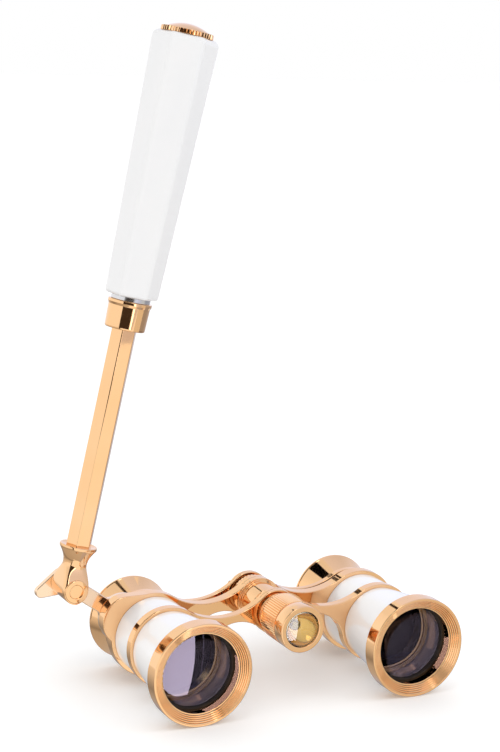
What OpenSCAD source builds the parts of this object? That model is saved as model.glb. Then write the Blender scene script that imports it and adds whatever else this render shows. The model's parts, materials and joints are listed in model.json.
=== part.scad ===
// Opera glasses: two Galilean barrels on hinged bridges, a focus knob with a
// reading lamp in its end, and a telescopic handle folding beside one barrel.
// Axes: Y is the optical direction (objectives at low Y), Z is up.
// "left" is the -X side and "right" the +X side, seen from the objectives.

/* [Barrels] */
// Distance between the two optical axes
axis_gap = 74.4; // [72:0.1:78]
// Outer radius of the objective rings
ring_r = 16.2; // [16:0.1:16.8]
// Clear radius of the objective rings
aperture_r = 12.5; // [12.2:0.1:12.5]
// Depth of the objective rings
ring_depth = 5.2; // [4.8:0.1:5.6]
// Radius of the white cone where it meets the ring
cone_front_r = 14.7; // [14.4:0.1:15]
// Radius of the white cone where it meets the front bridge
cone_rear_r = 12; // [11.8:0.1:12.2]
// Radius of the white rear barrel
barrel_r = 12.6; // [12.2:0.1:12.8]
// Outer radius of the inner tube
tube_r = 11; // [10.9:0.1:11.1]

/* [Eyecups] */
// Radius of the eyecup rim
eyecup_r = 13.8; // [13:0.1:14.2]
// Radius of the eyecup at the ocular bridge
eyecup_neck_r = 11; // [10.9:0.1:11.5]
// Distance from the front rim to the back of the eyecups
overall_depth = 59; // [58.8:0.1:60]

/* [Bridges] */
// Front face of the front bridge
front_bridge_y = 26.2; // [26:0.1:26.4]
// Thickness of the front bridge
front_bridge_t = 3.2; // [3:0.1:3.4]
// Front face of the middle bridge
mid_bridge_y = 39.4; // [39.2:0.1:39.6]
// Thickness of the middle bridge
mid_bridge_t = 4; // [3.8:0.1:4]
// Front face of the ocular bridge in the rest position
ocular_bridge_y = 46.5; // [46.4:0.1:46.8]
// Thickness of the ocular bridge
ocular_bridge_t = 2.2; // [2:0.1:2.2]
// Ring radius of the front bridge
front_lobe_r = 13; // [12.9:0.1:13.4]
// Ring radius of the middle bridge
mid_lobe_r = 13.8; // [13.4:0.1:14]
// Ring radius of the ocular bridge
ocular_lobe_r = 12.4; // [12:0.1:12.8]
// Height of the hinge axis above the optical axes
hub_z = 7.6; // [7.2:0.1:8]
// Radius of the hinge eyes
hub_r = 7.4; // [7.2:0.1:7.6]
// Radius of the hollow along the top of the bridges
top_hollow_r = 21.7; // [20:0.1:24]
// Radius of the arch under the bridges
under_arch_r = 11.7; // [10:0.1:13]

/* [Focus] */
// Radius of the focus knob
knob_r = 7.5; // [7.2:0.1:7.6]
// Front face of the focus knob
knob_y = 8.1; // [8:0.1:8.4]
// Length of the smooth rim of the knob
knob_rim_t = 5; // [4.5:0.1:5.2]
// Radius of the reading lamp lens
lamp_r = 5.45; // [5.3:0.05:5.5]
// Number of flutes round the knob
knob_flutes = 44; // [30:1:60]

/* [Handle] */
// Sideways distance of the handle pivot from the left optical axis
pivot_out = 28.8; // [28.5:0.1:29.5]
// Height of the handle pivot above the optical axes
pivot_z = 19.4; // [18:0.1:20]
// Lean of the handle from upright
handle_lean = 11.15; // [0:0.05:20]
// Corner radius of the six-sided shaft
shaft_r = 4.13; // [4:0.01:4.15]
// Distance from the pivot to the bottom of the collar
collar_s = 81.4; // [80:0.1:84]
// Length of the grip
grip_l = 79.8; // [78:0.1:80]
// Corner radius of the grip at its lower end
grip_low_r = 8.3; // [8:0.1:8.6]
// Corner radius of the grip at its upper end
grip_top_r = 10.4; // [10:0.1:10.8]
// Turn of the grip about its own axis
grip_turn = -20; // [-30:1:30]

/* [Hidden] */
$fn = 96;
fit = 0.05;
wall = 0.6;
small = 0.01;
past = 1;
face_fillet = 0.4;

// barrels
half_gap = axis_gap / 2;
lip_y = 1.75;
ridge_count = 5;
land_r = ring_r - 0.8;
skirt_r = aperture_r + wall;
skirt_end = 11;
seat_y = 9.4;
retainer_y = 1.95;
retainer_r = aperture_r - wall;
lens_front = 7.2;
lens_r = aperture_r - fit;
lens_bulge = 1.4;
lens_edge_gap = 0.15;
lens_edge_t = seat_y - lens_edge_gap - lens_front;
tube_start = 22;
tube_end = 46;
tube_bore = tube_r - wall;
front_bridge_back = front_bridge_y + front_bridge_t;
mid_bridge_back = mid_bridge_y + mid_bridge_t;
stop_y = 18;
stop_t = 1.6;
stop_bore = tube_bore - wall;
stop_r = tube_r + 0.2;

// eyepieces
draw_r = tube_bore - 0.1;
draw_bore = draw_r - 0.8;
draw_start = 30;
draw_end = 53.6;
ocular_bridge_back = ocular_bridge_y + ocular_bridge_t;
dish_y = 54.2;
eye_r = 6;
eye_lens_r = 8.2;
eye_lens_t = 2.2;
eye_lens_hollow = 0.7;
eye_shelf_t = 1;
eye_lip_t = 0.2;
eye_lens_y = draw_end - eye_lip_t - eye_lens_t;
cup_floor = dish_y - 0.4;
cup_back = overall_depth - 0.5;
cup_lip = 0.9;
cup_wall = 1.6;
dish_lip = 1;
dish_edge = 1.8;
dish_floor = 3.4;

// hinge and focus
column_r = 6;
sleeve_r = 4.4;
sleeve_start = 33;
spindle_r = 2.5;
spindle_end = 45;
sleeve_front = sleeve_start + 2;
column_front = front_bridge_y - 0.8;
column_end = 45.2;
column_nut_r = column_r + 1;
eye_gap = 0.1;
bite = 0.05;
knob_back = 25.2;
knob_neck_r = 6.6;
knob_bore = lamp_r + 0.1;
knob_floor = 21.8;
knob_chamfer = 0.3;
flute_r = 0.42;
flute_end = 23.2;
neck_step = 0.6;
hub_cap_t = 2.2;
hub_cap_chamfer = 1;
lamp_dome = 1;
reflector_y = knob_y + 1.1;
reflector_t = 3.4;
reflector_mouth_r = lamp_r - 0.4;
reflector_throat_r = 1.2;
reflector_floor = 0.4;
led_t = 1;
led_chip = 1.4;
led_chip_t = 0.6;
led_y = reflector_y + reflector_t;
lamp_travel_room = 0.75;
contact_y = led_y + led_t + lamp_travel_room;
contact_r = 3.4;
contact_top_r = 1;
contact_rise = 0.2;
contact_dish = 0.3;
contact_h = 0.5;
holder_floor_t = 0.4;
spindle_front = knob_floor - holder_floor_t;
cell_r = 3.95;
cell_t = 3;
cell_pitch = cell_t + 0.02;
cell_count = 2;
cell_y = contact_y + contact_h;

// handle
pivot_x = -half_gap - pivot_out;
bracket_t = 2;
bracket_y = mid_bridge_back;
bracket_back = bracket_y + bracket_t;
bracket_lobe_r = 13;
pivot_disc_r = 4.17;
tab_r = 1.9;
tab_end = [pivot_x - 7, pivot_z - 2.9];
arm_w = 5.2;
lug = [-half_gap - 8.8, 5.6];
lug_r = 8;
bracket_lug_r = lug_r - 0.4;
block_t = 10.8;
block_y = bracket_y - 0.1 - block_t;
block_mid = block_y + block_t / 2;
block_r = 4.15;
neck_s = 7.6;
neck_r = 3.7;
flare_s = 13.4;
flare_r = 5.8;
flare_lip = 0.8;
pin_r = 1.5;
pin_head_r = 2.05;
pin_head_t = 1.2;
pin_head_proud = 0.2;
pin_shoulder = block_y + pin_head_t - 0.1;
pivot_nut_r = 3;
pivot_nut_t = 1.2;
shaft_start = 9;
shaft_wall = 1.2;
shaft_floor = 2;
collar_l = 8.7;
collar_end = collar_s + collar_l;
collar_low_r = 6.2;
collar_chamfer = 0.5;
collar_neck_r = 6.45;
collar_top_r = 6.75;
collar_fit = 0.08;
lip_t = 0.9;
lip_slope = 0.4;
washer_t = 1.4;
washer_r = 6;
grip_s = collar_end + washer_t;
grip_edge = 2.2;
grip_bore = 4.45;
spigot_r = 5.6;
spigot_l = 6;
bush_t = 3;
bush_cap_t = 1.5;
bush_gap = 0.2;
shaft_end = grip_s + spigot_l + bush_gap + bush_t;
cap_r = 8;
cap_shoulder = 0.3;
cap_rim_t = 1.5;
cap_dome = 1.9;
cap_plug_l = 2.8;
cap_teeth = 48;
tooth_r = 0.36;
tooth_out = 0.15;
screw_at = [[lug[0] - 4.2, lug[1] + 3.4], [lug[0] - 4.9, lug[1] - 2]];
screw_head_r = 1.6;
screw_head_t = 0.4;

// overall box, from which the origin follows
x_low = tab_end[0] - tab_r;
x_high = half_gap + ring_r;
origin = [(x_low + x_high) / 2, overall_depth / 2, -ring_r];

SIDES = ["left", "right"];

// Where two circles of radius ra + r and rb + r about a and b cross; way is 1 or -1.
function tangent_centre(a, ra, b, rb, r, way) =
    let (d = norm(b - a), u = (b - a) / d)
    let (da = ra + r, db = rb + r)
    let (along = (da * da - db * db + d * d) / (2 * d))
    let (up = way * sqrt(da * da - along * along))
    a + along * u + up * [-u[1], u[0]];

// The point on circle (a, ra) nearest to p.
function toward(a, ra, p) = a + ra * (p - a) / norm(p - a);

// The four points where the outer tangents touch circles (a, ra) and (b, rb), anticlockwise.
function belt(a, ra, b, rb) =
    let (d = norm(b - a), u = (b - a) / d, v = [-u[1], u[0]])
    let (c = (ra - rb) / d, s = sqrt(1 - c * c))
    [a + ra * (c * u - s * v), b + rb * (c * u - s * v),
     b + rb * (c * u + s * v), a + ra * (c * u + s * v)];

// Moves everything to the row's origin: the middle of the box's underside.
module place() {
    translate(-origin) children();
}

// A solid of revolution about the Y axis from [radius, y] points.
module turned(points) {
    rotate([-90, 0, 0]) rotate_extrude() polygon(points);
}

// A round bar or hole along Y.
module bar(r, y0, y1) {
    translate([0, y0, 0]) rotate([-90, 0, 0]) cylinder(r = r, h = y1 - y0);
}

// A flat outline in X and Z, given thickness t behind y.
module plate(y, t) {
    translate([0, y + t, 0]) rotate([90, 0, 0]) linear_extrude(t) children();
}

module on_barrel(side) {
    place() translate([side * half_gap, 0, 0]) children();
}

module on_hinge() {
    place() translate([0, 0, hub_z]) children();
}

// Local Z runs up the handle from the pivot.
module on_handle() {
    place() translate([pivot_x, block_mid, pivot_z]) rotate([0, handle_lean, 0]) children();
}

// ---- barrels ----

module objective_ring(side) {
    step = (land_r - aperture_r) / ridge_count;
    drop = lip_y / ridge_count;
    on_barrel(side) color([0.86, 0.62, 0.44]) turned(concat(
        [[ring_r - face_fillet, 0], [ring_r, face_fillet], [ring_r, ring_depth], [skirt_r, ring_depth],
         [skirt_r, skirt_end], [retainer_r, skirt_end], [retainer_r, seat_y], [aperture_r, seat_y],
         [aperture_r, lip_y]],
        [for (i = [ridge_count - 1:-1:0]) each
            [[land_r - i * step, (i + 1) * drop], [land_r - i * step, i * drop]]]));
}

module lens_retainer(side) {
    on_barrel(side) color([0.05, 0.05, 0.06]) turned([
        [retainer_r, retainer_y], [aperture_r, retainer_y], [aperture_r, lens_front - lens_edge_gap],
        [retainer_r, lens_front - lens_edge_gap]]);
}

// A lens of radius r whose two faces stand out by front and back (negative is hollow).
module lens(r, y, t, front, back) {
    steps = 12;
    function cap_points(h, y_edge, way) = [for (i = [0:steps])
        let (q = r * i / steps) [q, y_edge + way * h * (1 - q * q / (r * r))]];
    turned(concat(cap_points(front, y, -1), [for (p = [steps:-1:0]) cap_points(back, y + t, 1)[p]]));
}

module objective_lens(side) {
    on_barrel(side) color([0.55, 0.5, 0.75, 0.5])
        lens(lens_r, lens_front, lens_edge_t, lens_bulge, lens_bulge);
}

module front_cone(side) {
    on_barrel(side) color([0.94, 0.94, 0.95]) turned([
        [skirt_r, ring_depth], [cone_front_r, ring_depth], [cone_rear_r, front_bridge_y],
        [tube_r, front_bridge_y], [tube_r, tube_start], [skirt_r - wall, skirt_end + past],
        [skirt_r, skirt_end]]);
}

module stop_ring(side) {
    on_barrel(side) color([0.8, 0.58, 0.36]) turned([
        [stop_bore, stop_y], [stop_r, stop_y], [stop_r, stop_y + stop_t], [tube_r, stop_y + stop_t],
        [tube_r, tube_start], [stop_bore, tube_start]]);
}

module inner_tube(side) {
    on_barrel(side) color([0.1, 0.1, 0.1]) difference() {
        bar(tube_r, tube_start, tube_end);
        bar(tube_bore, tube_start - past, tube_end + past);
    }
}

module rear_barrel(side) {
    on_barrel(side) color([0.94, 0.94, 0.95]) difference() {
        bar(barrel_r, front_bridge_back, mid_bridge_y);
        bar(tube_r, front_bridge_back - past, mid_bridge_y + past);
    }
}

// ---- bridges ----

// Outline of a right-hand leaf: the lobe round the barrel and the waisted web to the hub.
module leaf_outline(lobe_r) {
    barrel = [half_gap, 0];
    hub = [0, hub_z];
    web_r = hub_r - bite;
    end_r = lobe_r - bite;
    hollow = tangent_centre(hub, web_r, barrel, end_r, top_hollow_r, 1);
    arch = tangent_centre(hub, web_r, barrel, end_r, under_arch_r, -1);
    translate(barrel) circle(lobe_r);
    difference() {
        polygon([hub, toward(hub, web_r, arch), toward(barrel, end_r, arch), barrel,
            toward(barrel, end_r, hollow), toward(hub, web_r, hollow)]);
        translate(hollow) circle(top_hollow_r);
        translate(arch) circle(under_arch_r);
    }
}

// A bridge leaf. Its hinge eye fills one half of the thickness: the front half when
// eye_first is true, else the back half; the other half is left for the partner's eye.
module leaf(side, y, t, lobe_r, barrel_bore, pin_bore, eye_first) {
    half = (t - eye_gap) / 2;
    eye_y = eye_first ? y : y + t - half;
    free_y = eye_first ? y + half : y;
    place() difference() {
        union() {
            plate(y, t) mirror([side < 0 ? 1 : 0, 0]) leaf_outline(lobe_r);
            translate([0, 0, hub_z]) bar(hub_r, eye_y, eye_y + half);
            if (side < 0) children();
        }
        translate([0, 0, hub_z]) {
            bar(hub_r + eye_gap, free_y - (eye_first ? 0 : past),
                free_y + t - half + (eye_first ? past : 0));
            bar(pin_bore, y - past, y + t + past);
        }
        translate([side * half_gap, 0, 0]) bar(barrel_bore, y - past, y + t + past);
    }
}

module front_bridge(side) {
    color([0.88, 0.64, 0.42]) leaf(side, front_bridge_y, front_bridge_t, front_lobe_r, tube_r,
        side < 0 ? column_r : column_r + fit, side < 0);
}

module mid_bridge(side) {
    color([0.88, 0.64, 0.42]) leaf(side, mid_bridge_y, mid_bridge_t, mid_lobe_r, tube_r,
        side < 0 ? column_r : column_r + fit, side < 0) plate(mid_bridge_y, mid_bridge_t) {
            translate(lug) circle(lug_r);
            translate([lug[0], 0]) square([-half_gap - lug[0], lug[1] + lug_r]);
        }
}

module ocular_bridge(side) {
    color([0.88, 0.64, 0.42]) leaf(side, ocular_bridge_y, ocular_bridge_t, ocular_lobe_r, draw_r,
        side < 0 ? sleeve_r : sleeve_r + fit, side < 0);
}

// ---- eyepieces ----

module ocular_tube(side) {
    on_barrel(side) color([0.08, 0.08, 0.08]) turned([
        [draw_bore, draw_start], [draw_r, draw_start], [draw_r, draw_end], [eye_lens_r, draw_end],
        [eye_lens_r, eye_lens_y], [eye_r, eye_lens_y], [eye_r, eye_lens_y - eye_shelf_t],
        [draw_bore, eye_lens_y - eye_shelf_t]]);
}

module eyecup(side) {
    on_barrel(side) color([0.9, 0.68, 0.5]) turned([
        [draw_r, ocular_bridge_back], [eyecup_neck_r, ocular_bridge_back],
        [eyecup_r, overall_depth - face_fillet], [eyecup_r - face_fillet, overall_depth],
        [eyecup_r - cup_lip, overall_depth], [eyecup_r - cup_wall, cup_floor], [draw_r, cup_floor]]);
}

module eye_lens(side) {
    on_barrel(side) color([0.6, 0.65, 0.7, 0.5])
        lens(eye_lens_r - fit, eye_lens_y, eye_lens_t, -eye_lens_hollow, -eye_lens_hollow);
}

module eye_retainer(side) {
    on_barrel(side) color([0.06, 0.06, 0.06]) turned([
        [eye_r, dish_y], [eye_r, draw_end - eye_lip_t], [eye_lens_r, draw_end - eye_lip_t],
        [eye_lens_r, draw_end], [draw_r, draw_end], [draw_r, cup_floor],
        [eyecup_r - cup_wall, cup_floor], [eyecup_r - dish_lip, cup_back],
        [eyecup_r - dish_edge, cup_back], [eyecup_r - dish_floor, dish_y]]);
}

// ---- hinge and focus ----

module hinge_column() {
    on_hinge() color([0.9, 0.66, 0.44]) difference() {
        bar(column_r, column_front, column_end);
        bar(spindle_r + fit, column_front - past, sleeve_start);
        bar(sleeve_r + fit, sleeve_start - past, column_end + past);
    }
}

// Holds the right-hand leaves on the column.
module column_nut() {
    on_hinge() color([0.9, 0.66, 0.44]) difference() {
        bar(column_nut_r, mid_bridge_back + eye_gap, column_end);
        bar(column_r, mid_bridge_back - past, column_end + past);
    }
}

module focus_spindle() {
    on_hinge() color([0.75, 0.75, 0.76]) bar(spindle_r, spindle_front, spindle_end);
}

module focus_knob() {
    on_hinge() color([0.85, 0.6, 0.38]) difference() {
        turned([[0, knob_floor], [knob_bore, knob_floor], [knob_bore, knob_y],
            [knob_r - knob_chamfer, knob_y], [knob_r, knob_y + knob_chamfer], [knob_r, flute_end],
            [knob_neck_r, flute_end + neck_step], [knob_neck_r, knob_back], [0, knob_back]]);
        bar(spindle_r, knob_floor - past, knob_back + past);
        for (i = [1:knob_flutes]) rotate([0, i * 360 / knob_flutes, 0])
            translate([0, 0, knob_r + flute_r / 2]) bar(flute_r, knob_y + knob_rim_t, flute_end + past);
    }
}

// The threaded sleeve that the spindle drives along Y; it carries the ocular bridge.
module focus_sleeve() {
    on_hinge() color([0.8, 0.8, 0.8]) difference() {
        bar(sleeve_r, sleeve_front, ocular_bridge_back);
        bar(spindle_r + fit, sleeve_front - past, spindle_end + past);
    }
}

module hub_cap() {
    on_hinge() color([0.9, 0.66, 0.44]) turned([
        [0, ocular_bridge_back], [column_r, ocular_bridge_back],
        [column_r, ocular_bridge_back + hub_cap_t - hub_cap_chamfer],
        [column_r - hub_cap_chamfer, ocular_bridge_back + hub_cap_t],
        [0, ocular_bridge_back + hub_cap_t]]);
}

// ---- reading lamp in the knob ----

module lamp_lens() {
    on_hinge() color([0.95, 0.85, 0.5, 0.6])
        lens(lamp_r, knob_y, reflector_y - knob_y, lamp_dome, 0);
}

module lamp_reflector() {
    on_hinge() color([0.9, 0.75, 0.4]) turned([
        [reflector_throat_r, led_y], [reflector_throat_r, led_y - reflector_floor],
        [reflector_mouth_r, reflector_y], [lamp_r, reflector_y], [lamp_r, led_y]]);
}

module lamp_led() {
    on_hinge() color([0.9, 0.85, 0.4]) {
        bar(reflector_mouth_r, led_y, led_y + led_t);
        translate([-led_chip / 2, led_y - led_chip_t, -led_chip / 2])
            cube([led_chip, led_chip_t, led_chip]);
    }
}

module lamp_contact() {
    on_hinge() color([0.8, 0.8, 0.8]) turned([
        [0, contact_y], [contact_top_r, contact_y], [contact_r, contact_y + contact_rise],
        [contact_r, contact_y + contact_h], [0, contact_y + contact_dish]]);
}

module battery_holder() {
    on_hinge() color([0.2, 0.2, 0.2]) difference() {
        bar(knob_bore - fit, contact_y, knob_floor);
        bar(cell_r + fit, contact_y - past, spindle_front);
        bar(spindle_r, spindle_front - past, knob_floor + past);
    }
}

module battery_cells() {
    on_hinge() color([0.75, 0.75, 0.75]) for (i = [0:cell_count - 1])
        bar(cell_r, cell_y + i * cell_pitch, cell_y + i * cell_pitch + cell_t);
}

// ---- handle bracket and pivot ----

module bracket_outline() {
    pivot = [pivot_x, pivot_z];
    u = (lug - pivot) / norm(lug - pivot);
    v = [-u[1], u[0]] * arm_w / 2;
    translate(pivot) circle(pivot_disc_r);
    translate(tab_end) circle(tab_r);
    polygon(belt(pivot, pivot_disc_r - bite, tab_end, tab_r - bite));
    polygon([pivot - v, lug - v, lug + v, pivot + v]);
    translate(lug) circle(bracket_lug_r);
    translate([-half_gap, 0]) circle(bracket_lobe_r);
}

module handle_bracket() {
    color([0.93, 0.7, 0.5]) place() difference() {
        plate(bracket_y, bracket_t) bracket_outline();
        translate([-half_gap, 0, 0]) bar(tube_r, bracket_y - past, bracket_back + past);
        translate([pivot_x, 0, pivot_z]) bar(pin_r, bracket_y - past, bracket_back + past);
    }
}

module bracket_screws() {
    color([0.9, 0.66, 0.44]) place() for (p = screw_at)
        translate([p[0], 0, p[1]]) bar(screw_head_r, bracket_back, bracket_back + screw_head_t);
}

module pivot_pin() {
    color([0.93, 0.7, 0.5]) place() translate([pivot_x, 0, pivot_z]) {
        bar(pin_r, pin_shoulder, bracket_back + pivot_nut_t);
        bar(pin_head_r, block_y - pin_head_proud, pin_shoulder);
    }
}

module pivot_nut() {
    color([0.9, 0.66, 0.44]) place() translate([pivot_x, 0, pivot_z]) difference() {
        translate([0, bracket_back, 0]) rotate([-90, 0, 0])
            cylinder(r = pivot_nut_r, h = pivot_nut_t, $fn = 6);
        bar(pin_r, bracket_back - past, bracket_back + pivot_nut_t + past);
    }
}

module handle_block() {
    on_handle() color([0.93, 0.68, 0.46]) difference() {
        union() {
            translate([0, -block_t / 2, 0]) bar(block_r, 0, block_t);
            rotate_extrude() polygon([[0, 0], [block_r, 0], [neck_r, neck_s],
                [flare_r, flare_s - flare_lip], [flare_r, flare_s], [0, flare_s]]);
        }
        translate([0, -block_t / 2, 0]) {
            bar(pin_r + fit, -past, block_t + past);
            bar(pin_head_r + fit, -past, pin_head_t);
        }
        translate([0, 0, shaft_start]) cylinder(r = shaft_r, h = flare_s, $fn = 6);
    }
}

// ---- telescopic handle ----

module shaft_tube() {
    on_handle() color([0.94, 0.72, 0.5]) difference() {
        translate([0, 0, shaft_start]) cylinder(r = shaft_r, h = shaft_end - shaft_start, $fn = 6);
        translate([0, 0, shaft_start + shaft_floor]) cylinder(r = shaft_r - shaft_wall, h = shaft_end);
    }
}

// Keeps the shaft from pulling out of the grip.
module shaft_bush() {
    on_handle() color([0.8, 0.7, 0.4]) translate([0, 0, shaft_end]) difference() {
        translate([0, 0, -bush_t]) cylinder(r = grip_bore - fit, h = bush_t + bush_cap_t);
        translate([0, 0, -bush_t - past]) cylinder(r = shaft_r, h = bush_t + past, $fn = 6);
    }
}

module collar() {
    on_handle() color([0.93, 0.68, 0.46]) difference() {
        union() {
            rotate_extrude() polygon([[0, collar_s], [collar_low_r - collar_chamfer, collar_s],
                [collar_low_r, collar_s + collar_chamfer], [collar_neck_r, collar_end - lip_t - lip_slope],
                [collar_top_r, collar_end - lip_t], [collar_top_r, collar_end], [0, collar_end]]);
            translate([0, 0, collar_end]) cylinder(r = spigot_r, h = washer_t + spigot_l);
        }
        translate([0, 0, collar_s - past])
            cylinder(r = shaft_r + collar_fit, h = shaft_end - collar_s, $fn = 6);
    }
}

module collar_washer() {
    on_handle() color([0.75, 0.76, 0.78]) translate([0, 0, collar_end]) difference() {
        cylinder(r = washer_r, h = washer_t);
        translate([0, 0, -past]) cylinder(r = spigot_r, h = washer_t + 2 * past);
    }
}

module grip() {
    slope = (grip_top_r - grip_low_r) / grip_l;
    end_h = [0, grip_edge / 2, grip_l - grip_edge, grip_l - grip_edge / 3, grip_l - small];
    end_r = [grip_low_r - grip_edge / 2, grip_low_r, grip_top_r - slope * grip_edge,
        grip_top_r - grip_edge / 3, grip_top_r - grip_edge];
    on_handle() color([0.96, 0.96, 0.97]) translate([0, 0, grip_s]) difference() {
        rotate([0, 0, grip_turn]) hull() {
            for (i = [0:4]) translate([0, 0, end_h[i]]) cylinder(r = end_r[i], h = small, $fn = 6);
        }
        translate([0, 0, spigot_l]) cylinder(r = grip_bore, h = grip_l);
        translate([0, 0, -past]) cylinder(r = spigot_r, h = spigot_l + past);
    }
}

module end_cap() {
    on_handle() color([0.9, 0.66, 0.44]) translate([0, 0, grip_s + grip_l]) {
        difference() {
            rotate_extrude() polygon(concat([[0, 0], [cap_r, 0], [cap_r, cap_rim_t]],
                [for (i = [8:-1:0]) let (q = (cap_r - cap_shoulder) * i / 8)
                    [q, cap_rim_t + cap_dome * (1 - q * q / (cap_r * cap_r))]]));
            for (i = [1:cap_teeth]) rotate([0, 0, i * 360 / cap_teeth])
                translate([cap_r + tooth_out, 0, -small])
                    cylinder(r = tooth_r, h = cap_rim_t + small, $fn = 24);
        }
        translate([0, 0, -cap_plug_l]) cylinder(r = grip_bore, h = cap_plug_l);
    }
}

for (i = [0, 1]) {
    side = i * 2 - 1;
    s = SIDES[i];
    objective_ring(side);
    lens_retainer(side);
    objective_lens(side);
    front_cone(side);
    stop_ring(side);
    inner_tube(side);
    front_bridge(side);
    rear_barrel(side);
    mid_bridge(side);
    ocular_bridge(side);
    ocular_tube(side);
    eyecup(side);
    eye_lens(side);
    eye_retainer(side);
}
hinge_column();
column_nut();
focus_spindle();
focus_knob();
focus_sleeve();
hub_cap();
lamp_lens();
lamp_reflector();
lamp_led();
lamp_contact();
battery_holder();
battery_cells();
handle_bracket();
bracket_screws();
pivot_pin();
pivot_nut();
handle_block();
shaft_tube();
shaft_bush();
collar();
collar_washer();
grip();
end_cap();
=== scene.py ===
"""Looks of the opera glasses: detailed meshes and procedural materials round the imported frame.

Lengths are in millimetres, and MM turns them into metres. "left" is the -X side. Outlines of
turned pieces are (radius, height) corners, and their axis is the local Z axis of the piece.
"""
import json
import math

import bpy
from mathutils import Matrix, Vector
from mathutils.geometry import tessellate_polygon

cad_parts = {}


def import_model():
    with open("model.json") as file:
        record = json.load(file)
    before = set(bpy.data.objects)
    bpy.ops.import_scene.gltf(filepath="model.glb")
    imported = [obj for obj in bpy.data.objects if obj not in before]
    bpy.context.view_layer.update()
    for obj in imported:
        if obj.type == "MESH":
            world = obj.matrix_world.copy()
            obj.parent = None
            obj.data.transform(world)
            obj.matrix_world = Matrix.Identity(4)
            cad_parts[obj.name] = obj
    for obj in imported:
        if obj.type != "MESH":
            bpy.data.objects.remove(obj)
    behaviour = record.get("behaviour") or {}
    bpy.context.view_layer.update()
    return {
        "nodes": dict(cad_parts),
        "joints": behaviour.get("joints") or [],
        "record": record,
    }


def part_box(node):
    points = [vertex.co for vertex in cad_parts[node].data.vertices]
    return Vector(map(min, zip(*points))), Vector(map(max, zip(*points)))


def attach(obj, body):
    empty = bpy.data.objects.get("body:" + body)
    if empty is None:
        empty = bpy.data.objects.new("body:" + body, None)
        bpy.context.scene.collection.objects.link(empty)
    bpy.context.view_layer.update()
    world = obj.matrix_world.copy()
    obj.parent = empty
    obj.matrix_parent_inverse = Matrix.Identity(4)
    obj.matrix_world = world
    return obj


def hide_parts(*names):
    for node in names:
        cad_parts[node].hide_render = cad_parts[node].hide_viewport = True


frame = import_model()

MM = 0.001
TINY = 1e-6
SIDES = {"left": -1, "right": 1}
RECORD = frame["record"]
SLOT_OF = {part["node"]: part["material_slot"] for part in RECORD["subparts"]}
BODY_OF = {node: body for body, nodes in RECORD["behaviour"]["bodies"].items() for node in nodes}
JOINTS = {joint["name"]: joint for joint in frame["joints"]}


# ---- places, all read from the frame ----

def reach(node, place):
    """Lowest and highest corner of a CAD node in the local frame of place, in mm."""
    inverse = place.inverted()
    points = [inverse @ v.co / MM for v in frame["nodes"][node].data.vertices]
    low = Vector([min(p[k] for p in points) for k in range(3)])
    high = Vector([max(p[k] for p in points) for k in range(3)])
    return low, high


def same_side(kind, node):
    """The piece of another kind on the side of node."""
    return kind + node[node.rindex("_"):]


def optic_place(x, z, y):
    """A frame at (x, y, z) mm whose local Z runs along +Y, from the objectives to the eyecups."""
    return Matrix.Translation(Vector((x, y, z)) * MM) @ Matrix.Rotation(math.radians(-90), 4, "X")


def middle(node):
    low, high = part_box(node)
    return (low + high) / 2 / MM


FRONT_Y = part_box("objective_ring_left")[0].y / MM
BARREL = {}
for side_name in SIDES:
    centre = middle(f"objective_ring_{side_name}")
    BARREL[side_name] = optic_place(centre.x, centre.z, FRONT_Y)
hinge_centre = middle("hinge_column")
HINGE = optic_place(hinge_centre.x, hinge_centre.z, FRONT_Y)
AXIS_Z = middle("objective_ring_left").z
HALF_GAP = middle("objective_ring_right").x - hinge_centre.x
HUB_Z = hinge_centre.z - AXIS_Z
# Radii that pieces share: the inner tube, the draw tube, the bracket's lug and the pivot pin.
TUBE_R, DRAW_R, LUG_R, PIN_R = 11.0, 10.3, 8.0, 1.5
# Plates are drawn in X and Z from the point between the barrels; their local Z runs along -Y.
PLATES = (Matrix.Translation(Vector((hinge_centre.x, FRONT_Y, AXIS_Z)) * MM)
          @ Matrix.Rotation(math.radians(90), 4, "X"))
PIVOT = Vector(JOINTS["handle_fold"]["pos_m"]) / MM
LEAN = math.atan2(*[JOINTS["handle_telescope"]["axis"][k] for k in (0, 2)])
HANDLE = Matrix.Translation(PIVOT * MM) @ Matrix.Rotation(LEAN, 4, "Y")
PIN = optic_place(PIVOT.x, PIVOT.z, FRONT_Y)


# ---- outlines ----

def rounded(corners, fillet=0.15, steps=3, closed=True):
    """Corners (x, y) or (x, y, fillet), in either sense -> [(x, y, nx, ny)] with round corners.

    The normals point out of the material. An open outline runs from axis to axis.
    """
    spots = [(c[0], c[1], c[2] if len(c) > 2 else fillet) for c in corners]
    area = sum(a[0] * b[1] - b[0] * a[1] for a, b in zip(spots, spots[1:] + spots[:1]))
    if area < 0:
        spots.reverse()
    count = len(spots)
    last = count if closed else count - 1
    ways = []
    for i in range(last):
        step = Vector(spots[(i + 1) % count][:2]) - Vector(spots[i][:2])
        ways.append((step.normalized(), step.length))
    outline = []
    for i, (x, y, size) in enumerate(spots):
        if not closed and i in (0, count - 1):
            way = ways[0 if i == 0 else -1][0]
            outline.append((x, y, way.y, -way.x))
            continue
        (before, length_in), (after, length_out) = ways[i - 1], ways[i]
        turn = math.atan2(before.x * after.y - before.y * after.x, before.dot(after))
        half = abs(math.tan(turn / 2))
        room = min(length_in, length_out) * 0.48
        radius = min(size, room / half) if half > TINY else 0
        normal = Vector((before.y, -before.x))
        if radius < TINY or abs(turn) < math.radians(4):
            mean = (normal + Vector((after.y, -after.x))).normalized()
            outline.append((x, y, mean.x, mean.y))
            continue
        sign = 1 if turn > 0 else -1
        start = Vector((x, y)) - before * radius * half
        hub = start - normal * radius * sign
        for k in range(steps + 1):
            n = Matrix.Rotation(turn * k / steps, 2) @ normal
            p = hub + n * radius * sign
            outline.append((p.x, p.y, n.x, n.y))
    return outline


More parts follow.
